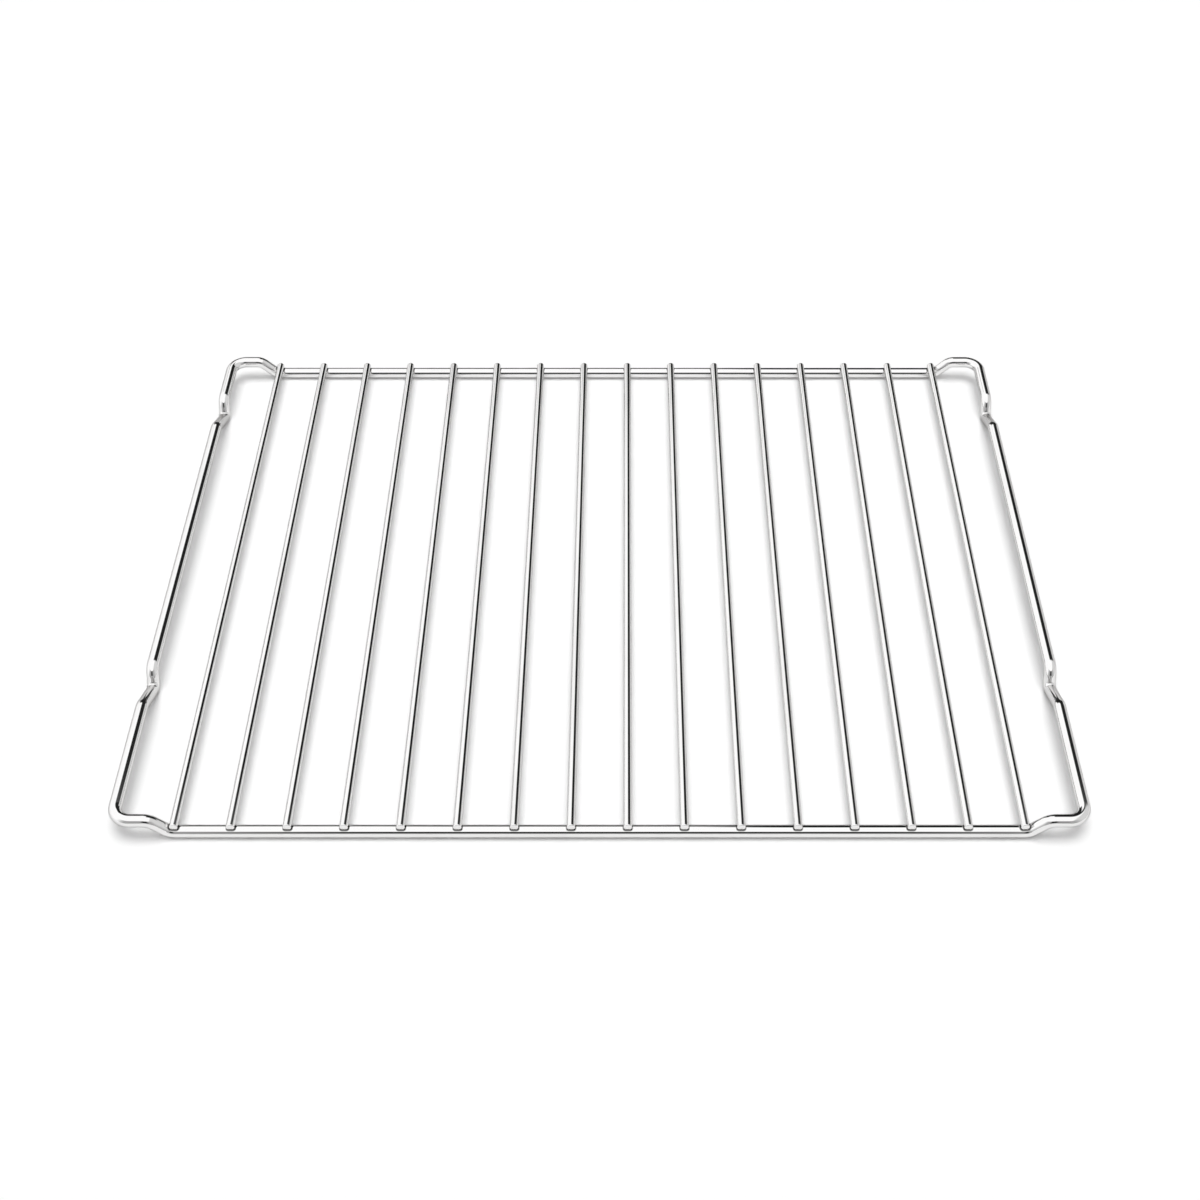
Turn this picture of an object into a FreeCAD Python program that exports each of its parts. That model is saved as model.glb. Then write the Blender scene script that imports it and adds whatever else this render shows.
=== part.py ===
"""Oven shelf rack: a bent round-wire frame with straight bars welded across it.

Millimetres. +X to the right, +Y to the back of the oven, +Z up. The origin is on the
floor under the middle of the rack, so the low rails and the four feet stand on Z = 0.
"""
import FreeCAD, Part
import Sketcher
import math
import os

from FreeCAD import Vector

# Driving sizes: name, value and what it is. Lengths in mm, angles in degrees.
SIZES = [
    ("overall_width", 446, "outside of the left side rail to outside of the right one"),
    ("overall_depth", 340, "outside of the front rail to outside of the rear one"),
    ("frame_wire", 6, "diameter of the frame's wire"),
    ("corner_bend", 8, "bend radius at the four corners, to the middle of the wire"),
    ("rim_rise", 8, "how far the sides and corners stand above the low rails"),
    ("rim_slope", 45, "slope of the step from a low rail up to a corner"),
    ("rim_start", 2.75, "from the axis of an outermost bar out to the foot of the step"),
    ("step_bend", 6, "bend radius at both ends of a step"),
    ("front_foot_place", 85.5, "from the front rail back to the low point of a front foot"),
    ("rear_foot_place", 41.5, "from the rear rail forward to the low point of a rear foot"),
    ("foot_steep_slope", 65, "slope of a foot's short rear leg"),
    ("foot_gentle_slope", 25, "slope of a foot's long front leg"),
    ("foot_bend", 4, "bend radius at the tip of a foot"),
    ("shoulder_bend", 5.5, "bend radius where a foot leaves the side rail"),
    ("bar_wire", 4, "diameter of the bars"),
    ("bar_count", 16, "number of bars"),
    ("side_gap", 27.25, "from the axis of a side rail in to the axis of the outermost bar"),
    ("bar_overhang", 1.4, "how far a bar's end passes the middle of the rail"),
    ("weld_depth", 0.5, "how far a bar is pressed into the rail at its weld"),
]

# Sizes that follow from the driving ones: name, formula and what it is.
DERIVED = [
    ("bar_pitch", "=(overall_width - frame_wire - 2 * side_gap) / (bar_count - 1)",
     "from one bar to the next"),
]

doc = FreeCAD.newDocument("oven_shelf_rack")
sheet = doc.addObject("Spreadsheet::Sheet", "Sizes")


def fill_sheet():
    """Write every size into the sheet, with its alias and its meaning."""
    for row, (alias, value, meaning) in enumerate(SIZES + DERIVED, start=1):
        sheet.set("A%d" % row, str(value))
        sheet.setAlias("A%d" % row, alias)
        sheet.set("B%d" % row, meaning)
    doc.recompute()


def size(alias):
    return float(sheet.get(alias))


def rounded_path(corners):
    """One wire of straight runs joined by tangent arcs.

    corners is a list of (point, bend radius); the first and last points are the ends.
    The arcs are exact splines, because a section swept along them meshes with half the
    facets of a torus.
    """
    edges = []
    start = corners[0][0]
    for (before, _), (corner, radius), (after, _) in zip(corners, corners[1:], corners[2:]):
        back = (before - corner).normalize()
        ahead = (after - corner).normalize()
        half_angle = back.getAngle(ahead) / 2
        run_in = corner + back * (radius / math.tan(half_angle))
        run_out = corner + ahead * (radius / math.tan(half_angle))
        inward = (back + ahead).normalize()
        middle = corner + inward * (radius / math.sin(half_angle) - radius)
        edges.append(Part.LineSegment(start, run_in).toShape())
        edges.append(Part.Arc(run_in, middle, run_out).toBSpline().toShape())
        start = run_out
    edges.append(Part.LineSegment(start, corners[-1][0]).toShape())
    return Part.Wire(edges)


def foot_corners(side, low_y, low_z, rail_z):
    """The three corners of a foot, from its front shoulder to its rear one.

    A foot is a lopsided V in the side rail: a long gentle leg in front and a short steep
    one behind. Its tip is rounded, and the lowest point of that arc is at low_y, low_z.
    """
    gentle = math.radians(size("foot_gentle_slope"))
    steep = math.radians(size("foot_steep_slope"))
    tip_bend = size("foot_bend")
    shoulder_bend = size("shoulder_bend")
    reach = tip_bend / math.cos((steep + gentle) / 2)
    tip_y = low_y + reach * math.sin((steep - gentle) / 2)
    tip_z = low_z + tip_bend - reach * math.cos((steep - gentle) / 2)
    drop = rail_z - tip_z
    return [
        (Vector(side, tip_y - drop / math.tan(gentle), rail_z), shoulder_bend),
        (Vector(side, tip_y, tip_z), tip_bend),
        (Vector(side, tip_y + drop / math.tan(steep), rail_z), shoulder_bend),
    ]


def frame_path():
    """Middle line of the right half of the frame, from mid front to mid rear."""
    low = size("frame_wire") / 2
    high = low + size("rim_rise")
    side = (size("overall_width") - size("frame_wire")) / 2
    rail = (size("overall_depth") - size("frame_wire")) / 2
    last_bar = size("bar_pitch") * (size("bar_count") - 1) / 2
    step_foot = last_bar + size("rim_start")
    step_top = step_foot + size("rim_rise") / math.tan(math.radians(size("rim_slope")))
    step_bend = size("step_bend")
    corner_bend = size("corner_bend")

    corners = [
        (Vector(0, -rail, low), 0),
        (Vector(step_foot, -rail, low), step_bend),
        (Vector(step_top, -rail, high), step_bend),
        (Vector(side, -rail, high), corner_bend),
    ]
    corners += foot_corners(side, size("front_foot_place") - rail, low, high)
    corners += foot_corners(side, rail - size("rear_foot_place"), low, high)
    corners += [
        (Vector(side, rail, high), corner_bend),
        (Vector(step_top, rail, high), step_bend),
        (Vector(step_foot, rail, low), step_bend),
        (Vector(0, rail, low), 0),
    ]
    return rounded_path(corners)


def make_frame():
    """The frame: one wire swept along its half path, mirrored and joined into a loop."""
    path = doc.addObject("Part::Feature", "frame_path")
    path.Shape = frame_path()

    section = doc.addObject("Part::Circle", "frame_section")
    section.setExpression("Radius", "Sizes.frame_wire / 2")
    section.Placement.Rotation = FreeCAD.Rotation(Vector(0, 1, 0), 90)
    section.setExpression("Placement.Base.y", "(Sizes.frame_wire - Sizes.overall_depth) / 2")
    section.setExpression("Placement.Base.z", "Sizes.frame_wire / 2")

    right_half = doc.addObject("Part::Sweep", "frame_right_half")
    right_half.Sections = [section]
    right_half.Spine = (path, ["Edge%d" % (n + 1) for n in range(len(path.Shape.Edges))])
    right_half.Solid = True

    left_half = doc.addObject("Part::Mirroring", "frame_left_half")
    left_half.Source = right_half
    left_half.Normal = Vector(1, 0, 0)

    frame = doc.addObject("Part::Fuse", "frame")
    frame.Base = right_half
    frame.Tool = left_half
    frame.Refine = True
    frame.Label = "frame_loop"
    return frame


def make_bar(number, frame):
    """A straight bar across both rails, with a seat pressed by the rail at each end."""
    body = doc.addObject("PartDesign::Body", "bar_blank_%02d" % number)
    planes = {plane.Role: plane for plane in body.Origin.OriginFeatures}

    sketch = body.newObject("Sketcher::SketchObject", "bar_section_%02d" % number)
    sketch.AttachmentSupport = [(planes["XZ_Plane"], "")]
    sketch.MapMode = "FlatFace"
    circle = sketch.addGeometry(Part.Circle(Vector(0, 0, 0), Vector(0, 0, 1), size("bar_wire") / 2))
    sketch.addConstraint(Sketcher.Constraint("Coincident", circle, 3, -1, 1))
    wire = sketch.addConstraint(Sketcher.Constraint("Diameter", circle, size("bar_wire")))
    sketch.setExpression("Constraints[%d]" % wire, "Sizes.bar_wire")

    pad = body.newObject("PartDesign::Pad", "bar_length_%02d" % number)
    pad.Profile = sketch
    pad.Midplane = True
    pad.setExpression(
        "Length", "Sizes.overall_depth - Sizes.frame_wire + 2 * Sizes.bar_overhang")
    body.Tip = pad

    body.setExpression(
        "Placement.Base.x", "Sizes.bar_pitch * (%d - (Sizes.bar_count + 1) / 2)" % number)
    body.setExpression(
        "Placement.Base.z", "Sizes.frame_wire + Sizes.bar_wire / 2 - Sizes.weld_depth")

    bar = doc.addObject("Part::Cut", "bar_%02d" % number)
    bar.Base = body
    bar.Tool = frame
    bar.Label = "bar_%02d" % number
    return bar


def check(pieces):
    """Stop if any object failed or any piece isn't one sound solid."""
    for item in doc.Objects:
        if "Invalid" in item.State or "Error" in item.State:
            raise RuntimeError("%s failed: %s" % (item.Name, item.State))
    for piece in pieces:
        shape = piece.Shape
        if shape.isNull() or not shape.isValid() or len(shape.Solids) != 1:
            raise RuntimeError("%s isn't one sound solid" % piece.Label)


def check_frame_volume(frame):
    """A good sweep holds its section times the length of its path."""
    section = math.pi * size("frame_wire") ** 2 / 4
    expected = 2 * section * doc.getObject("frame_path").Shape.Length
    if abs(frame.Shape.Volume / expected - 1) > 0.002:
        raise RuntimeError("frame volume %.1f, expected %.1f" % (frame.Shape.Volume, expected))


fill_sheet()
frame = make_frame()
doc.recompute()
bars = [make_bar(number, frame) for number in range(1, int(size("bar_count")) + 1)]
doc.recompute()
check([frame] + bars)
check_frame_volume(frame)

os.makedirs("parts", exist_ok=True)
for piece in [frame] + bars:
    piece.Shape.exportStep("parts/%s.step" % piece.Label)
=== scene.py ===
"""Oven shelf rack, dressed for the studio.

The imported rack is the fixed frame. Its wires are modelled again here, finer and with a
plated finish, in the same place and at the same size: one bent frame loop and sixteen
bars that sit in shallow seats on its low rails. Metres, +Y to the back, +Z up.
"""

import math

import bpy
from bpy.props import (FloatProperty, FloatVectorProperty, IntProperty, PointerProperty)
from mathutils import Matrix, Vector
from mathutils.kdtree import KDTree


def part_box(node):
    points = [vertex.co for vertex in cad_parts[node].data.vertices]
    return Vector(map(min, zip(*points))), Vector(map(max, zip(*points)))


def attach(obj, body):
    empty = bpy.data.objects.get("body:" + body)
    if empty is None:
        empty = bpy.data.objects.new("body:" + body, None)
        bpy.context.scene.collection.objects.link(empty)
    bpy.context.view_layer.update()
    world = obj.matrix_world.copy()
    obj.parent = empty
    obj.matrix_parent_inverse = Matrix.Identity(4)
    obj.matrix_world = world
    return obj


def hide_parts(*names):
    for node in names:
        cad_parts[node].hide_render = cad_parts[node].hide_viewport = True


bl_info = {
    "name": "Oven Shelf Rack",
    "version": (1, 0, 0),
    "blender": (4, 5, 0),
    "location": "3D View > Sidebar > Rack",
    "description": "Models a plated wire oven shelf rack and its studio stage",
    "category": "Add Mesh",
}

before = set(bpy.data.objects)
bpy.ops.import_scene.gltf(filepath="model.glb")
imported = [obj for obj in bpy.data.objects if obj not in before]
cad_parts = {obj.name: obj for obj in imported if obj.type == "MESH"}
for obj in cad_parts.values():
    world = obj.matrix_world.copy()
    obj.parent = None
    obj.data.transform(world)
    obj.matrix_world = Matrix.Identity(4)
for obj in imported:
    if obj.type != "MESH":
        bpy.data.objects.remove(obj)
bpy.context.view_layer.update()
FRAME_LOW, FRAME_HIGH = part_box("frame_loop")
BAR_NODES = sorted(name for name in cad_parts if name.startswith("bar_"))
FRAME_PIECE = "plated_frame"

# Short runs of mesh beside bends, seats and cut ends, in metres. They keep the smoothing
# of those places out of the straight wire.
BEND_SUPPORT = 0.0008
SEAT_SUPPORT = 0.0054
END_SUPPORT = 0.0006

# Tolerances in metres: for merging doubled points, for joining the halves of the frame,
# for finding a bar's cut ends and for checking where a bend ended.
MERGE_DISTANCE = 0.000002
JOIN_DISTANCE = 0.00001
END_TOLERANCE = 0.000001
BEND_TOLERANCE = 0.00001

# Radius of the painted shade round a weld, in diameters of a bar.
WELD_SHADE_RADIUS = 0.55

# Where the parts of the studio that the metal shows fade into each other, in degrees:
# heights above the floor, bearings from straight back, and rolls from straight up. The
# last two are shares of straight back instead.
CURTAIN_FOOT = (4, 8)
CURTAIN_LEFT = (-32, -24)
CURTAIN_RIGHT = (36, 40)
CARD_FOOT = (9, 15)
CARD_SIDE = (160, 170)
FRONT_SIDE = (110, 150)
PANEL_RIGHT = (34, 24)
OVER_FRONT = (42, 46)
OVER_BACK_LEFT = (30, 34)
OVER_BACK_MIDDLE = (36.5, 38.5)
BACK_MIDDLE = (-15, -10)
GAP_LEFT = (3, 7)
GAP_RIGHT = (66, 72)
SOFTBOX_EDGE = (64, 72)
BEHIND = (-0.2, 0.2)
FAR_BACK = (0.45, 0.6)


class RackFrameSettings(bpy.types.PropertyGroup):
    """Sizes of the bent frame loop."""
    wire: FloatProperty(
        name="Wire", description="Diameter of the frame's wire",
        default=0.006, min=0.001, unit="LENGTH")
    width: FloatProperty(
        name="Width", description="Outside of one side rail to outside of the other",
        default=FRAME_HIGH.x - FRAME_LOW.x, min=0.1, unit="LENGTH")
    depth: FloatProperty(
        name="Depth", description="Outside of the front rail to outside of the rear one",
        default=FRAME_HIGH.y - FRAME_LOW.y, min=0.1, unit="LENGTH")
    corner_bend: FloatProperty(
        name="Corner Bend", description="Bend radius at the four corners",
        default=0.008, min=0.003, unit="LENGTH")
    rim_rise: FloatProperty(
        name="Rim Rise", description="How far sides and corners stand above the low rails",
        default=0.008, min=0.0, unit="LENGTH")
    rim_slope: FloatProperty(
        name="Rim Slope", description="Slope of the step from a low rail to a corner",
        default=math.radians(45), subtype="ANGLE")
    step_place: FloatProperty(
        name="Step Place", description="From the middle out to the foot of a step",
        default=0.1955, min=0.05, unit="LENGTH")
    step_bend: FloatProperty(
        name="Step Bend", description="Bend radius at both ends of a step",
        default=0.006, min=0.003, unit="LENGTH")
    front_foot: FloatProperty(
        name="Front Foot", description="From the front rail back to the tip of a front foot",
        default=0.0855, min=0.02, unit="LENGTH")
    rear_foot: FloatProperty(
        name="Rear Foot", description="From the rear rail forward to the tip of a rear foot",
        default=0.0415, min=0.02, unit="LENGTH")
    steep_leg: FloatProperty(
        name="Steep Leg", description="Slope of a foot's short rear leg",
        default=math.radians(65), subtype="ANGLE")
    gentle_leg: FloatProperty(
        name="Gentle Leg", description="Slope of a foot's long front leg",
        default=math.radians(25), subtype="ANGLE")
    foot_bend: FloatProperty(
        name="Foot Bend", description="Bend radius at the tip of a foot",
        default=0.004, min=0.003, unit="LENGTH")
    shoulder_bend: FloatProperty(
        name="Shoulder Bend", description="Bend radius where a foot leaves the side rail",
        default=0.0055, min=0.003, unit="LENGTH")
    sides: IntProperty(
        name="Sides", description="Points round the wire", default=56, min=12)
    bend_step: FloatProperty(
        name="Bend Step", description="Largest turn between two rings of a bend",
        default=math.radians(6), min=math.radians(1), subtype="ANGLE")


class RackBarSettings(bpy.types.PropertyGroup):
    """Sizes of the straight bars."""
    wire: FloatProperty(
        name="Wire", description="Diameter of the bars",
        default=0.004, min=0.001, unit="LENGTH")
    edge: FloatProperty(
        name="Edge", description="Rounding at a bar's cut ends",
        default=0.0004, min=0.0, unit="LENGTH")
    sides: IntProperty(
        name="Sides", description="Points round the bar", default=48, min=12)


class RackFinishSettings(bpy.types.PropertyGroup):
    """Colours and sheen of the plating, and the painted shade round the welds."""
    plating: FloatVectorProperty(
        name="Plating", description="Colour of clean plating",
        subtype="COLOR", size=3, min=0.0, max=1.0, default=(0.82, 0.815, 0.812))
    handled: FloatVectorProperty(
        name="Handled", description="Colour of plating dulled by handling",
        subtype="COLOR", size=3, min=0.0, max=1.0, default=(0.77, 0.764, 0.76))
    # Painted shade: a near-black plating tone in the narrow crevice round a weld, standing for the
    # shade there.
    seam: FloatVectorProperty(
        name="Seam", description="Colour of the plating in the narrow gap round a weld",
        subtype="COLOR", size=3, min=0.0, max=1.0, default=(0.1, 0.098, 0.096))
    edge_tint: FloatVectorProperty(
        name="Edge Tint", description="How much of the reflection is left at a grazing angle",
        subtype="COLOR", size=3, min=0.0, max=1.0, default=(0.35, 0.345, 0.34))
    # Gaps over which the painted weld shade fades out.
    weld_shade_inner: FloatProperty(
        name="Seam Inner", description="Gap to the other wire under which the seam is darkest",
        default=0.00025, min=0.0, unit="LENGTH")
    weld_shade_outer: FloatProperty(
        name="Seam Outer", description="Gap to the other wire at which the seam ends",
        default=0.00085, min=0.0, unit="LENGTH")
    gloss_roughness: FloatProperty(
        name="Gloss Roughness", description="Roughness of the brightest plating",
        subtype="FACTOR", min=0.0, max=1.0, default=0.04)
    dull_roughness: FloatProperty(
        name="Dull Roughness", description="Roughness of dulled plating",
        subtype="FACTOR", min=0.0, max=1.0, default=0.1)


class RackStageSettings(bpy.types.PropertyGroup):
    """Floor, studio light and camera."""
    floor_size: FloatProperty(
        name="Floor Size", description="Side of the square floor",
        default=8.0, min=1.0, unit="LENGTH")
    floor_colour: FloatVectorProperty(
        name="Floor Colour", description="Colour of the floor",
        subtype="COLOR", size=3, min=0.0, max=1.0, default=(0.92, 0.92, 0.92))
    floor_glow: FloatProperty(
        name="Floor Glow", description="Light added to the floor where it is seen",
        min=0.0, default=0.08)
    zenith_level: FloatProperty(
        name="Zenith Level", description="Brightness of the round softbox overhead",
        min=0.0, default=5.2)
    ambient_level: FloatProperty(
        name="Ambient Level", description="Brightness of the room round that softbox",
        min=0.0, default=0.32)
    panel_level: FloatProperty(
        name="Panel Level", description="Brightness of the white panels in the metal",
        min=0.0, default=1.2)
    right_level: FloatProperty(
        name="Right Level", description="Brightness of the grey wall on the right",
        min=0.0, default=0.78)
    room_level: FloatProperty(
        name="Room Level", description="Brightness of the room front left and front right",
        min=0.0, default=0.45)
    horizon_level: FloatProperty(
        name="Horizon Level", description="Brightness low down behind, under the dark curtain",
        min=0.0, default=0.06)
    back_level: FloatProperty(
        name="Back Level", description="Brightness of the dark curtain and of the dark gap",
        min=0.0, default=0.02)
    front_level: FloatProperty(
        name="Front Level", description="Brightness of the dark card in front",
        min=0.0, default=0.04)
    camera_place: FloatVectorProperty(
        name="Camera Place", description="Where the camera stands",
        subtype="XYZ", size=3, unit="LENGTH", default=(0.0118, -0.61147, 0.61498))
    camera_tilt: FloatProperty(
        name="Camera Tilt", description="How far the camera is tilted up from straight down",
        default=math.radians(43.979), subtype="ANGLE")
    camera_lens: FloatProperty(
        name="Camera Lens", description="Focal length in millimetres on a sensor 36 wide",
        default=49.428, min=1.0)
    camera_shift: FloatProperty(
        name="Camera Shift", description="Sideways shift of the picture, in picture widths",
        default=-0.02122)


def select_nothing():
    """Leave edit mode and deselect every object."""
    if bpy.context.object and bpy.context.object.mode != "OBJECT":
        bpy.ops.object.mode_set(mode="OBJECT")
    bpy.ops.object.select_all(action="DESELECT")


def start_piece(name):
    """A new empty mesh object at the origin, active and in edit mode."""
    select_nothing()
    bpy.ops.object.add(type="MESH", location=(0, 0, 0))
    piece = bpy.context.object
    piece.name = name
    piece.data.name = name
    bpy.ops.object.mode_set(mode="EDIT")
    bpy.context.tool_settings.mesh_select_mode = (True, False, False)
    return piece


def chosen_middle(piece):
    """Middle of the selected points of a piece in edit mode."""
    piece.update_from_editmode()
    places = [point.co for point in piece.data.vertices if point.select]
    return sum(places, Vector()) / len(places)


def apply_modifier(piece, modifier):
    """Apply a modifier to a piece as the active object."""
    bpy.context.view_layer.objects.active = piece
    bpy.ops.object.modifier_apply(modifier=modifier.name)


def close_mesh(piece):
    """Merge doubled points and turn every face outwards."""
    bpy.ops.object.mode_set(mode="EDIT")
    bpy.ops.mesh.select_all(action="SELECT")
    bpy.ops.mesh.remove_doubles(threshold=MERGE_DISTANCE)
    bpy.ops.mesh.normals_make_consistent(inside=False)
    bpy.ops.object.mode_set(mode="OBJECT")


def foot_corners(sizes, side, low_y, low_z, rail_z):
    """The three corners of a lopsided V foot, front shoulder to rear shoulder."""
    reach = sizes.foot_bend / math.cos((sizes.steep_leg + sizes.gentle_leg) / 2)
    lean = (sizes.steep_leg - sizes.gentle_leg) / 2
    tip_y = low_y + reach * math.sin(lean)
    tip_z = low_z + sizes.foot_bend - reach * math.cos(lean)
    drop = rail_z - tip_z
    return [
        (Vector((side, tip_y - drop / math.tan(sizes.gentle_leg), rail_z)), sizes.shoulder_bend),
        (Vector((side, tip_y, tip_z)), sizes.foot_bend),
        (Vector((side, tip_y + drop / math.tan(sizes.steep_leg), rail_z)), sizes.shoulder_bend),
    ]


def frame_corners(sizes):
    """Corners and bend radii of the frame's right half, from mid front to mid rear."""
    low = sizes.wire / 2
    high = low + sizes.rim_rise
    side = (sizes.width - sizes.wire) / 2
    rail = (sizes.depth - sizes.wire) / 2
    step_foot = sizes.step_place
    step_top = step_foot + sizes.rim_rise / math.tan(sizes.rim_slope)
    corners = [
        (Vector((0, -rail, low)), 0),
        (Vector((step_foot, -rail, low)), sizes.step_bend),
        (Vector((step_top, -rail, high)), sizes.step_bend),
        (Vector((side, -rail, high)), sizes.corner_bend),
    ]
    corners += foot_corners(sizes, side, sizes.front_foot - rail, low, high)
    corners += foot_corners(sizes, side, rail - sizes.rear_foot, low, high)
    corners += [
        (Vector((side, rail, high)), sizes.corner_bend),
        (Vector((step_top, rail, high)), sizes.step_bend),
        (Vector((step_foot, rail, low)), sizes.step_bend),
        (Vector((0, rail, low)), 0),
    ]
    return corners


class WireBender:
    """Feeds the selected ring of points forward and bends it, as a wire bender does.

    Every ring it leaves is kept with its middle, its heading, a sideways direction that
    turns with the wire, and its distance along the wire.
    """

    def __init__(self, piece, middle, heading, sideways, bend_step):
        self.piece = piece
        self.middle = middle
        self.heading = heading
        self.sideways = sideways
        self.bend_step = bend_step
        self.along = 0.0
        self.rings = []
        self.keep_ring()

    def keep_ring(self):
        """Note where the ring stands now."""
        self.rings.append(
            (self.middle.copy(), self.heading.copy(), self.sideways.copy(), self.along))

    def feed_to(self, place):
        """Extrude the ring straight ahead to a place on its heading.

        A short run at each end keeps the smoothing of a bend out of the straight part.
        """
        run = place - self.middle
        short = run.normalized() * min(BEND_SUPPORT, run.length / 4)
        for move in (short, run - 2 * short, short):
            bpy.ops.mesh.extrude_region_move(TRANSFORM_OT_translate={"value": move})
            self.middle = self.middle + move
            self.along += move.length
            self.keep_ring()

    def bend(self, turn, radius, axis):
        """Spin the ring through a turn about an axis square to its heading."""
        hub = self.middle + axis.cross(self.heading) * radius
        steps = max(2, math.ceil(turn / self.bend_step))
        bpy.ops.mesh.spin(steps=steps, angle=-turn, center=hub, axis=axis, use_auto_merge=False)
        one_step = Matrix.Rotation(turn / steps, 3, axis)
        for _ in range(steps):
            self.middle = hub + one_step @ (self.middle - hub)
            self.heading = one_step @ self.heading
            self.sideways = one_step @ self.sideways
            self.along += radius * turn / steps
            self.keep_ring()
        if (chosen_middle(self.piece) - self.middle).length > BEND_TOLERANCE:
            raise RuntimeError("a bend of %s went the wrong way" % self.piece.name)

    def follow(self, corners):
        """Feed and bend the wire along corners, each given with its bend radius."""
        for (before, _), (corner, radius), (after, _) in zip(corners, corners[1:], corners[2:]):
            heading_in = (corner - before).normalized()
            heading_out = (after - corner).normalized()
            turn = heading_in.angle(heading_out)
            axis = heading_in.cross(heading_out).normalized()
            self.feed_to(corner - heading_in * (radius * math.tan(turn / 2)))
            self.bend(turn, radius, axis)
        self.feed_to(corners[-1][0])


def write_straight_wire(piece, rings):
    """Store where each point of the finish lay on the wire before it was bent.

    The drawing marks run along the wire, so the finish reads this attribute. It is kept
    on face corners, and the left half counts its length the other way, so that the two
    halves don't look like each other's reflection.
    """
    finder = KDTree(len(rings))
    for number, ring in enumerate(rings):
        finder.insert(ring[0], number)
    finder.balance()
    mesh = piece.data
    straight = mesh.attributes.new("straight_wire", "FLOAT_VECTOR", "CORNER")
    for face in mesh.polygons:
        half = 1 if face.center.x > 0 else -1
        for corner in face.loop_indices:
            place = mesh.vertices[mesh.loops[corner].vertex_index].co.copy()
            place.x *= half
            middle, heading, sideways, along = rings[finder.find(place)[1]]
            out = place - middle
            straight.data[corner].vector = (
                out.dot(sideways), out.dot(heading.cross(sideways)), half * along)


class MESH_OT_rack_frame(bpy.types.Operator):
    """Model the frame: half the loop fed and bent from one ring, then mirrored"""
    bl_idname = "mesh.rack_frame"
    bl_label = "Rack Frame"
    bl_options = {"REGISTER", "UNDO"}

    def execute(self, context):
        sizes = context.scene.rack_frame
        corners = frame_corners(sizes)
        piece = start_piece(FRAME_PIECE)
        bpy.ops.mesh.primitive_circle_add(
            vertices=sizes.sides, radius=sizes.wire / 2, fill_type="NOTHING",
            location=corners[0][0], rotation=(0, math.pi / 2, 0))
        bender = WireBender(
            piece, corners[0][0], Vector((1, 0, 0)), Vector((0, 0, 1)), sizes.bend_step)
        bender.follow(corners)
        bpy.ops.object.mode_set(mode="OBJECT")

        mirror = piece.modifiers.new("left half", "MIRROR")
        mirror.use_axis = (True, False, False)
        mirror.merge_threshold = JOIN_DISTANCE
        apply_modifier(piece, mirror)
        close_mesh(piece)
        bpy.ops.object.shade_smooth()
        write_straight_wire(piece, bender.rings)

        scene = context.scene
        piece.data.materials.append(frame_plating(scene.rack_finish, scene.rack_bars))
        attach(piece, "root")
        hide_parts("frame_loop")
        return {"FINISHED"}


class MESH_OT_rack_bars(bpy.types.Operator):
    """Model one bar, copy it across the rails and press a seat into each copy"""
    bl_idname = "mesh.rack_bars"
    bl_label = "Rack Bars"
    bl_options = {"REGISTER", "UNDO"}

    def first_bar(self, sizes, node):
        """The first bar: a disc drawn out to the bar's length, with its ends rounded."""
        low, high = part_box(node)
        middle = (low + high) / 2
        top = high.z
        piece = start_piece("plated_" + node)
        bpy.ops.mesh.primitive_circle_add(
            vertices=sizes.sides, radius=sizes.wire / 2, fill_type="NGON",
            location=(middle.x, low.y, top - sizes.wire / 2), rotation=(math.pi / 2, 0, 0))
        support = END_SUPPORT + SEAT_SUPPORT
        long_run = high.y - low.y - 2 * support
        for run in (END_SUPPORT, SEAT_SUPPORT, long_run, SEAT_SUPPORT, END_SUPPORT):
            bpy.ops.mesh.extrude_region_move(TRANSFORM_OT_translate={"value": (0, run, 0)})
        bpy.ops.mesh.select_all(action="SELECT")
        bpy.ops.mesh.normals_make_consistent(inside=False)
        self.select_cut_edges(piece, low.y, high.y)
        bpy.ops.mesh.bevel(offset=sizes.edge, segments=4, affect="EDGES")
        bpy.ops.object.mode_set(mode="OBJECT")
        return piece

    def select_cut_edges(self, piece, front, rear):
        """Select the round edge at each cut end of the bar."""
        bpy.ops.mesh.select_all(action="DESELECT")
        bpy.ops.object.mode_set(mode="OBJECT")
        bpy.context.tool_settings.mesh_select_mode = (False, True, False)
        points = piece.data.vertices
        for edge in piece.data.edges:
            places = [points[number].co.y for number in edge.vertices]
            edge.select = any(
                all(abs(place - end) < END_TOLERANCE for place in places) for end in (front, rear))
        bpy.ops.object.mode_set(mode="EDIT")

    def copy_to(self, original, node):
        """A copy of the first bar with its own mesh, at another bar's place."""
        low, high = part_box(node)
        here_low, here_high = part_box(BAR_NODES[0])
        move = ((low.x + high.x) - (here_low.x + here_high.x)) / 2
        select_nothing()
        original.select_set(True)
        bpy.context.view_layer.objects.active = original
        bpy.ops.object.duplicate(linked=False)
        piece = bpy.context.object
        piece.name = "plated_" + node
        piece.data.name = "plated_" + node
        bpy.ops.transform.translate(value=(move, 0, 0))
        bpy.ops.object.transform_apply(location=True, rotation=True, scale=True)
        return piece

    def press_seats(self, piece):
        """Cut the rails' seats into the underside of a bar."""
        seat = piece.modifiers.new("seat", "BOOLEAN")
        seat.operation = "DIFFERENCE"
        seat.solver = "EXACT"
        seat.object = bpy.data.objects[FRAME_PIECE]
        apply_modifier(piece, seat)

    def execute(self, context):
        sizes = context.scene.rack_bars
        original = self.first_bar(sizes, BAR_NODES[0])
        pieces = [original] + [self.copy_to(original, node) for node in BAR_NODES[1:]]
        plating = bar_plating(context.scene.rack_finish, context.scene.rack_frame)
        for piece, node in zip(pieces, BAR_NODES):
            select_nothing()
            piece.select_set(True)
            self.press_seats(piece)
            bpy.ops.object.shade_smooth_by_angle(angle=math.radians(30))
            piece.data.materials.clear()
            piece.data.materials.append(plating)
            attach(piece, "root")
            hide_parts(node)
        return {"FINISHED"}


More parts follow.
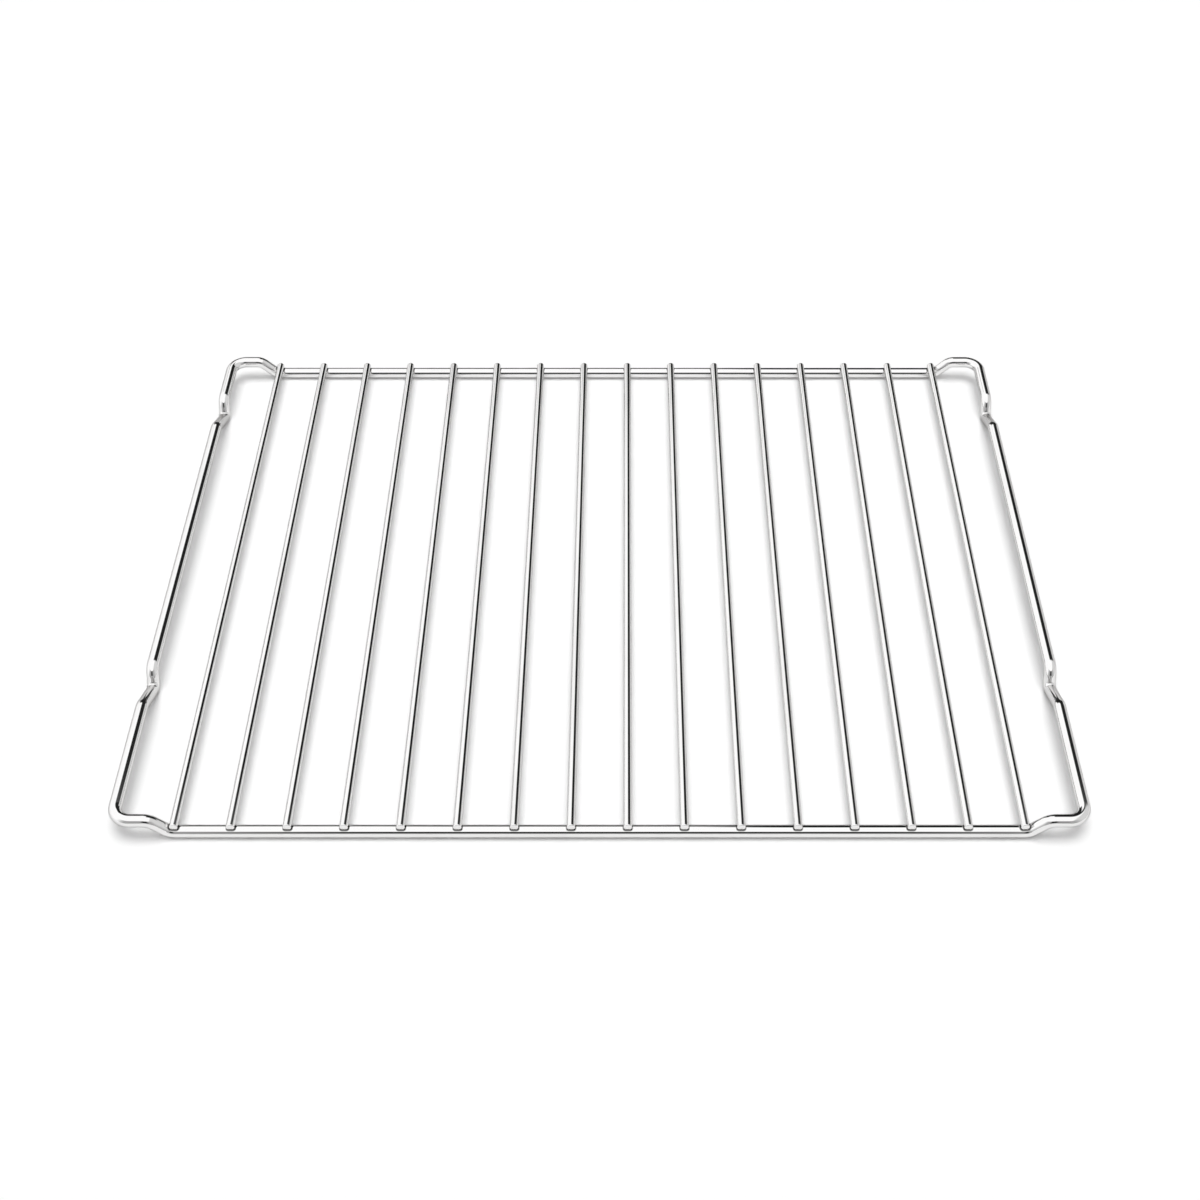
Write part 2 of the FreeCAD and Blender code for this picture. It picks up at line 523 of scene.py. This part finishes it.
def add_node(tree, kind, place, **settings):
    """A node at a place in its tree, with the settings given by name."""
    node = tree.nodes.new(kind)
    node.location = place
    for name, value in settings.items():
        setattr(node, name, value)
    return node


def scaled(tree, place, vector, scale):
    """A vector multiplied part by part, to stretch a pattern."""
    stretch = add_node(tree, "ShaderNodeVectorMath", place, operation="MULTIPLY")
    stretch.inputs[1].default_value = scale
    tree.links.new(vector, stretch.inputs[0])
    return stretch.outputs["Vector"]


def noise(tree, place, vector, scale, detail, roughness):
    """A noise value between 0 and 1 over a vector."""
    texture = add_node(tree, "ShaderNodeTexNoise", place, noise_dimensions="3D")
    texture.inputs["Scale"].default_value = scale
    texture.inputs["Detail"].default_value = detail
    texture.inputs["Roughness"].default_value = roughness
    tree.links.new(vector, texture.inputs["Vector"])
    return texture.outputs["Fac"]


def eased(tree, place, value, low, high, in_degrees=True):
    """A mask that rises from 0 at low to 1 at high."""
    ramp = add_node(tree, "ShaderNodeMapRange", place, interpolation_type="SMOOTHSTEP")
    ramp.inputs["From Min"].default_value = math.radians(low) if in_degrees else low
    ramp.inputs["From Max"].default_value = math.radians(high) if in_degrees else high
    tree.links.new(value, ramp.inputs["Value"])
    return ramp.outputs["Result"]


def single(tree, place, operation, value):
    """One value put through a function."""
    node = add_node(tree, "ShaderNodeMath", place, operation=operation)
    tree.links.new(value, node.inputs[0])
    return node.outputs["Value"]


def combined(tree, place, operation, first, second):
    """Two values joined by an operation; the second may be a plain number."""
    node = add_node(tree, "ShaderNodeMath", place, operation=operation)
    tree.links.new(first, node.inputs[0])
    if isinstance(second, (int, float)):
        node.inputs[1].default_value = second
    else:
        tree.links.new(second, node.inputs[1])
    return node.outputs["Value"]


def between(tree, place, angle, rising, falling):
    """A mask that rises over one pair of angles and falls over another, in degrees."""
    up = eased(tree, place, angle, *rising)
    down = eased(tree, (place[0], place[1] - 90), angle, falling[1], falling[0])
    return combined(tree, (place[0] + 200, place[1]), "MULTIPLY", up, down)


def mixed(tree, place, share, first, second):
    """A value blended from first to second; each may be a plain number."""
    node = add_node(tree, "ShaderNodeMix", place, data_type="FLOAT")
    tree.links.new(share, node.inputs["Factor"])
    for socket, value in ((node.inputs["A"], first), (node.inputs["B"], second)):
        if isinstance(value, (int, float)):
            socket.default_value = value
        else:
            tree.links.new(value, socket)
    return node.outputs["Result"]


def length(tree, place, first, second):
    """Length of a line with two parts at right angles."""
    line = add_node(tree, "ShaderNodeCombineXYZ", place)
    tree.links.new(first, line.inputs["X"])
    tree.links.new(second, line.inputs["Y"])
    node = add_node(tree, "ShaderNodeVectorMath", (place[0] + 200, place[1]), operation="LENGTH")
    tree.links.new(line.outputs["Vector"], node.inputs[0])
    return node.outputs["Value"]


def plating_and_weld_shade_group(finish):
    """Shader group for plated drawn wire: its tone with painted shade round the welds, its
    roughness and its relief.

    Place is the place on the straight wire: two parts across it and one along it. Gap is the
    distance to the wire that crosses it at a weld: close to that wire the tone turns near black, a
    painted shade for the crevice round the weld.
    """
    found = bpy.data.node_groups.get("drawn wire plating and weld shade")
    if found:
        return found
    group = bpy.data.node_groups.new("drawn wire plating and weld shade", "ShaderNodeTree")
    group.interface.new_socket("Place", in_out="INPUT", socket_type="NodeSocketVector")
    group.interface.new_socket("Gap", in_out="INPUT", socket_type="NodeSocketFloat")
    group.interface.new_socket("Tone", in_out="OUTPUT", socket_type="NodeSocketColor")
    group.interface.new_socket("Roughness", in_out="OUTPUT", socket_type="NodeSocketFloat")
    group.interface.new_socket("Relief", in_out="OUTPUT", socket_type="NodeSocketFloat")
    entry = add_node(group, "NodeGroupInput", (-1200, 0))
    place = entry.outputs["Place"]

    stretched = scaled(group, (-950, 300), place, (1, 1, 0.012))
    streaks = noise(group, (-700, 300), stretched, scale=2600, detail=3, roughness=0.6)
    stretched = scaled(group, (-950, 0), place, (1, 1, 0.35))
    waves = noise(group, (-700, 0), stretched, scale=160, detail=1, roughness=0.4)
    stretched = scaled(group, (-950, -300), place, (1, 1, 0.5))
    smudges = noise(group, (-700, -300), stretched, scale=38, detail=3, roughness=0.55)
    specks = noise(group, (-700, -600), place, scale=1900, detail=2, roughness=0.5)

    dulled = eased(group, (-450, -300), smudges, 0.5, 0.72, in_degrees=False)
    pits = eased(group, (-450, -600), specks, 0.74, 0.82, in_degrees=False)
    drawn = eased(group, (-450, 300), streaks, 0.3, 0.7, in_degrees=False)

    worn = combined(group, (-280, 150), "MAXIMUM", dulled, pits)
    tone = add_node(group, "ShaderNodeMix", (-100, 150), data_type="RGBA")
    tone.inputs["A"].default_value = (*finish.plating, 1)
    tone.inputs["B"].default_value = (*finish.handled, 1)
    group.links.new(worn, tone.inputs["Factor"])
    # Painted shade: near the crossing wire the tone turns near black, for the shade in the crevice
    # round a weld.
    seam = eased(group, (-280, 400), entry.outputs["Gap"],
                 finish.weld_shade_outer, finish.weld_shade_inner, in_degrees=False)
    crevice_shaded = add_node(group, "ShaderNodeMix", (80, 250), data_type="RGBA")
    crevice_shaded.inputs["B"].default_value = (*finish.seam, 1)
    group.links.new(seam, crevice_shaded.inputs["Factor"])
    group.links.new(tone.outputs["Result"], crevice_shaded.inputs["A"])

    spread = finish.dull_roughness - finish.gloss_roughness
    fine = combined(group, (-280, -50), "MULTIPLY", drawn, 0.25 * spread)
    broad = combined(group, (-280, -200), "MULTIPLY", worn, 0.75 * spread)
    sheen = combined(group, (-100, -100), "ADD", fine, broad)
    roughness = combined(group, (80, -100), "ADD", sheen, finish.gloss_roughness)

    wavy = combined(group, (-280, -400), "MULTIPLY", waves, 0.5)
    lined = combined(group, (-280, -550), "MULTIPLY", streaks, 0.04)
    hollow = combined(group, (-280, -700), "MULTIPLY", pits, -0.06)
    surface = combined(group, (-100, -450), "ADD", wavy, lined)
    relief = combined(group, (80, -450), "ADD", surface, hollow)

    leave = add_node(group, "NodeGroupOutput", (300, 0))
    group.links.new(crevice_shaded.outputs["Result"], leave.inputs["Tone"])
    group.links.new(roughness, leave.inputs["Roughness"])
    group.links.new(relief, leave.inputs["Relief"])
    return group


def plated_material(name, finish):
    """A metal material whose finish, with its painted weld shade, comes from the plating group."""
    material = bpy.data.materials.new(name)
    material.use_nodes = True
    tree = material.node_tree
    tree.nodes.clear()
    group = add_node(tree, "ShaderNodeGroup", (-350, 0), node_tree=plating_and_weld_shade_group(finish))
    bump = add_node(tree, "ShaderNodeBump", (-150, -250))
    bump.inputs["Strength"].default_value = 0.25
    bump.inputs["Distance"].default_value = 0.00002
    shader = add_node(tree, "ShaderNodeBsdfPrincipled", (50, 0))
    shader.inputs["Metallic"].default_value = 1.0
    shader.inputs["Specular Tint"].default_value = (*finish.edge_tint, 1)
    output = add_node(tree, "ShaderNodeOutputMaterial", (350, 0))
    tree.links.new(group.outputs["Tone"], shader.inputs["Base Color"])
    tree.links.new(group.outputs["Roughness"], shader.inputs["Roughness"])
    tree.links.new(group.outputs["Relief"], bump.inputs["Height"])
    tree.links.new(bump.outputs["Normal"], shader.inputs["Normal"])
    tree.links.new(shader.outputs["BSDF"], output.inputs["Surface"])
    return material, group.inputs["Place"], group.inputs["Gap"]


def object_place(tree):
    """The place on the object, in its three parts."""
    spot = add_node(tree, "ShaderNodeTexCoord", (-2400, -300))
    parts = add_node(tree, "ShaderNodeSeparateXYZ", (-2200, -300))
    tree.links.new(spot.outputs["Object"], parts.inputs["Vector"])
    return parts.outputs


def gap_to_bars(tree, bar_sizes):
    """Distance from a place on the frame to the nearest bar, with all bars folded onto one. It
    places the painted shade round the welds.
    """
    first_low, first_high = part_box(BAR_NODES[0])
    last_low, last_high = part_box(BAR_NODES[-1])
    pitch = (last_low.x - first_low.x) / (len(BAR_NODES) - 1)
    axis_height = first_high.z - bar_sizes.wire / 2
    weld_shade_radius = bar_sizes.wire * WELD_SHADE_RADIUS
    rounded_end = first_high.y - bar_sizes.edge / 2
    outermost = last_high.x + bar_sizes.wire

    spot = object_place(tree)
    pitches = combined(tree, (-2000, -200), "DIVIDE", spot["X"], pitch)
    share = single(tree, (-1900, -200), "FRACT", pitches)
    share = combined(tree, (-1800, -200), "SUBTRACT", share, 0.5)
    beside = combined(tree, (-1600, -200), "MULTIPLY", share, pitch)
    below = combined(tree, (-1600, -350), "SUBTRACT", spot["Z"], axis_height)
    off_bar = length(tree, (-1400, -250), beside, below)
    off_bar = combined(tree, (-1000, -250), "SUBTRACT", off_bar, weld_shade_radius)
    off_bar = combined(tree, (-900, -250), "MAXIMUM", off_bar, 0.0)

    past_end = single(tree, (-1600, -450), "ABSOLUTE", spot["Y"])
    past_end = combined(tree, (-1400, -450), "SUBTRACT", past_end, rounded_end)
    past_end = combined(tree, (-1200, -450), "MAXIMUM", past_end, 0.0)
    off_end = length(tree, (-800, -350), off_bar, past_end)

    past_bars = single(tree, (-1600, -600), "ABSOLUTE", spot["X"])
    past_bars = combined(tree, (-1400, -600), "SUBTRACT", past_bars, outermost)
    return combined(tree, (-450, -400), "MAXIMUM", off_end, past_bars)


def gap_to_rails(tree, spot, frame_sizes):
    """Distance from a place on a bar to the nearer of the two low rails. It places the painted
    shade round the welds.
    """
    radius = frame_sizes.wire / 2
    beside = single(tree, (-1800, -300), "ABSOLUTE", spot["Y"])
    beside = combined(tree, (-1600, -300), "SUBTRACT", beside, frame_sizes.depth / 2 - radius)
    above = combined(tree, (-1600, -450), "SUBTRACT", spot["Z"], radius)
    off_axis = length(tree, (-1400, -350), beside, above)
    return combined(tree, (-900, -350), "SUBTRACT", off_axis, radius)


def frame_plating(finish, bar_sizes):
    """Plating of the frame: the marks follow the wire through its bends."""
    material, place, gap = plated_material("frame wire plating and weld shade", finish)
    tree = material.node_tree
    straight = add_node(tree, "ShaderNodeAttribute", (-600, 0), attribute_name="straight_wire")
    tree.links.new(straight.outputs["Vector"], place)
    # The distance to the bars places the painted shade round the welds.
    tree.links.new(gap_to_bars(tree, bar_sizes), gap)
    return material


def bar_plating(finish, frame_sizes):
    """Plating of the bars: the marks run from front to back."""
    material, place, gap = plated_material("bar wire plating and weld shade", finish)
    tree = material.node_tree
    spot = object_place(tree)
    turned = add_node(tree, "ShaderNodeCombineXYZ", (-600, 0))
    tree.links.new(spot["X"], turned.inputs["X"])
    tree.links.new(spot["Z"], turned.inputs["Y"])
    tree.links.new(spot["Y"], turned.inputs["Z"])
    tree.links.new(turned.outputs["Vector"], place)
    # The distance to the rails places the painted shade round the welds.
    tree.links.new(gap_to_rails(tree, spot, frame_sizes), gap)
    return material


def floor_material(stage):
    """Matt pale floor that stays white where it is seen, also in the plating."""
    material = bpy.data.materials.new("studio floor")
    material.use_nodes = True
    tree = material.node_tree
    tree.nodes.clear()
    matt = add_node(tree, "ShaderNodeBsdfDiffuse", (0, 100))
    matt.inputs["Color"].default_value = (*stage.floor_colour, 1)
    glow = add_node(tree, "ShaderNodeEmission", (0, -100))
    light_path = add_node(tree, "ShaderNodeLightPath", (-600, -100))
    seen = combined(
        tree, (-400, -100), "MAXIMUM", light_path.outputs["Is Camera Ray"],
        light_path.outputs["Is Glossy Ray"])
    seen = combined(tree, (-200, -50), "MAXIMUM", seen, light_path.outputs["Is Transmission Ray"])
    strength = combined(tree, (-200, -200), "MULTIPLY", seen, stage.floor_glow)
    tree.links.new(strength, glow.inputs["Strength"])
    both = add_node(tree, "ShaderNodeAddShader", (250, 0))
    tree.links.new(matt.outputs["BSDF"], both.inputs[0])
    tree.links.new(glow.outputs["Emission"], both.inputs[1])
    output = add_node(tree, "ShaderNodeOutputMaterial", (450, 0))
    tree.links.new(both.outputs["Shader"], output.inputs["Surface"])
    return material


def softbox_light(tree, stage, height):
    """Level of the light on matt surfaces: a round softbox overhead in a dimmer room."""
    overhead = eased(tree, (-600, -900), height, *SOFTBOX_EDGE)
    return mixed(tree, (-400, -900), overhead, stage.ambient_level, stage.zenith_level)


def reflected_studio(tree, stage, facing, height):
    """Level of the white studio that the metal shows: panels with dark gaps between them."""
    right, back, rise = facing
    bearing = combined(tree, (-1400, 100), "ARCTAN2", right, back)
    off_back = single(tree, (-1200, 0), "ABSOLUTE", bearing)
    roll = combined(tree, (-1400, -200), "ARCTAN2", right, rise)

    curtain = eased(tree, (-1000, 700), height, *CURTAIN_FOOT)
    curtain = mixed(tree, (-800, 700), curtain, stage.horizon_level, stage.back_level)
    right_of_wall = eased(tree, (-1000, 500), bearing, *CURTAIN_LEFT)
    around = mixed(tree, (-600, 500), right_of_wall, stage.panel_level, curtain)
    right_wall = eased(tree, (-1000, 300), bearing, *CURTAIN_RIGHT)
    around = mixed(tree, (-400, 500), right_wall, around, stage.right_level)

    card = eased(tree, (-1000, 100), height, *CARD_FOOT)
    card = mixed(tree, (-800, 100), card, stage.right_level, stage.front_level)
    ahead = eased(tree, (-800, -50), off_back, *CARD_SIDE)
    front = mixed(tree, (-600, 100), ahead, stage.room_level, card)
    in_front = eased(tree, (-600, -50), off_back, *FRONT_SIDE)
    around = mixed(tree, (-200, 400), in_front, around, front)

    panel = eased(tree, (-1000, -300), roll, *PANEL_RIGHT)
    panel = mixed(tree, (-800, -300), panel, stage.right_level, stage.panel_level)
    behind = eased(tree, (-1000, -500), back, *BEHIND, in_degrees=False)
    over_front = eased(tree, (-1000, -600), height, *OVER_FRONT)
    past_middle = eased(tree, (-1000, -750), roll, *BACK_MIDDLE)
    over_left = eased(tree, (-1000, -850), height, *OVER_BACK_LEFT)
    over_middle = eased(tree, (-1000, -950), height, *OVER_BACK_MIDDLE)
    over_back = mixed(tree, (-800, -600), past_middle, over_left, over_middle)
    overhead = mixed(tree, (-600, -500), behind, over_front, over_back)
    level = mixed(tree, (0, 200), overhead, around, panel)

    gap = between(tree, (-1000, -700), roll, GAP_LEFT, GAP_RIGHT)
    far_back = eased(tree, (-600, -800), back, *FAR_BACK, in_degrees=False)
    gap = combined(tree, (-400, -700), "MULTIPLY", gap, far_back)
    return mixed(tree, (200, 100), gap, level, stage.back_level)


def studio_world(stage):
    """White where it is seen, a studio with dark gaps in the metal, a softbox for the light."""
    world = bpy.data.worlds.new("studio")
    world.use_nodes = True
    tree = world.node_tree
    tree.nodes.clear()
    spot = add_node(tree, "ShaderNodeTexCoord", (-1800, 0))
    parts = add_node(tree, "ShaderNodeSeparateXYZ", (-1600, 0))
    tree.links.new(spot.outputs["Generated"], parts.inputs["Vector"])
    height = single(tree, (-1400, 300), "ARCSINE", parts.outputs["Z"])
    light = softbox_light(tree, stage, height)
    seen = reflected_studio(tree, stage, parts.outputs, height)

    light_path = add_node(tree, "ShaderNodeLightPath", (200, 500))
    in_metal = combined(
        tree, (400, 300), "MAXIMUM", light_path.outputs["Is Glossy Ray"],
        light_path.outputs["Is Transmission Ray"])
    level = mixed(tree, (600, 200), in_metal, light, seen)
    level = mixed(tree, (800, 200), light_path.outputs["Is Camera Ray"], level, 1.0)
    background = add_node(tree, "ShaderNodeBackground", (1000, 200))
    background.inputs["Color"].default_value = (1, 1, 1, 1)
    tree.links.new(level, background.inputs["Strength"])
    output = add_node(tree, "ShaderNodeOutputWorld", (1200, 200))
    tree.links.new(background.outputs["Background"], output.inputs["Surface"])
    return world


class SCENE_OT_rack_stage(bpy.types.Operator):
    """Lay the floor, set the studio light and place the camera"""
    bl_idname = "scene.rack_stage"
    bl_label = "Rack Stage"
    bl_options = {"REGISTER", "UNDO"}

    def execute(self, context):
        stage = context.scene.rack_stage
        select_nothing()
        bpy.ops.mesh.primitive_plane_add(size=stage.floor_size, location=(0, 0, 0))
        floor = context.object
        floor.name = "studio_floor"
        floor.data.materials.append(floor_material(stage))

        context.scene.world = studio_world(stage)

        bpy.ops.object.camera_add(
            location=stage.camera_place, rotation=(stage.camera_tilt, 0, 0))
        camera = context.object
        camera.name = "photo_view"
        camera.data.sensor_width = 36.0
        camera.data.lens = stage.camera_lens
        camera.data.shift_x = stage.camera_shift
        camera.data.clip_start = 0.01
        context.scene.camera = camera
        context.scene.view_settings.view_transform = "Standard"
        return {"FINISHED"}


class VIEW3D_PT_rack(bpy.types.Panel):
    """Sidebar panel of the rack"""
    bl_label = "Oven Shelf Rack"
    bl_idname = "VIEW3D_PT_rack"
    bl_space_type = "VIEW_3D"
    bl_region_type = "UI"
    bl_category = "Rack"

    def draw(self, context):
        for title, settings, operator in PANEL_ROWS:
            box = self.layout.box()
            box.label(text=title)
            group = getattr(context.scene, settings)
            for name in SETTINGS[settings].__annotations__:
                box.prop(group, name)
            if operator:
                box.operator(operator)


PANEL_ROWS = (
    ("Finish", "rack_finish", None),
    ("Frame", "rack_frame", MESH_OT_rack_frame.bl_idname),
    ("Bars", "rack_bars", MESH_OT_rack_bars.bl_idname),
    ("Stage", "rack_stage", SCENE_OT_rack_stage.bl_idname),
)

SETTINGS = {
    "rack_finish": RackFinishSettings,
    "rack_frame": RackFrameSettings,
    "rack_bars": RackBarSettings,
    "rack_stage": RackStageSettings,
}

CLASSES = (
    *SETTINGS.values(),
    MESH_OT_rack_frame,
    MESH_OT_rack_bars,
    SCENE_OT_rack_stage,
    VIEW3D_PT_rack,
)


def register():
    """Register the classes and hang the settings on the scene."""
    for cls in CLASSES:
        bpy.utils.register_class(cls)
    for name, cls in SETTINGS.items():
        setattr(bpy.types.Scene, name, PointerProperty(type=cls))


def unregister():
    """Take the settings off the scene and unregister the classes."""
    for name in SETTINGS:
        delattr(bpy.types.Scene, name)
    for cls in reversed(CLASSES):
        bpy.utils.unregister_class(cls)


def main():
    """Register the add-on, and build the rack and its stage."""
    register()
    bpy.ops.mesh.rack_frame()
    bpy.ops.mesh.rack_bars()
    bpy.ops.scene.rack_stage()
    select_nothing()


if __name__ == "__main__":
    main()
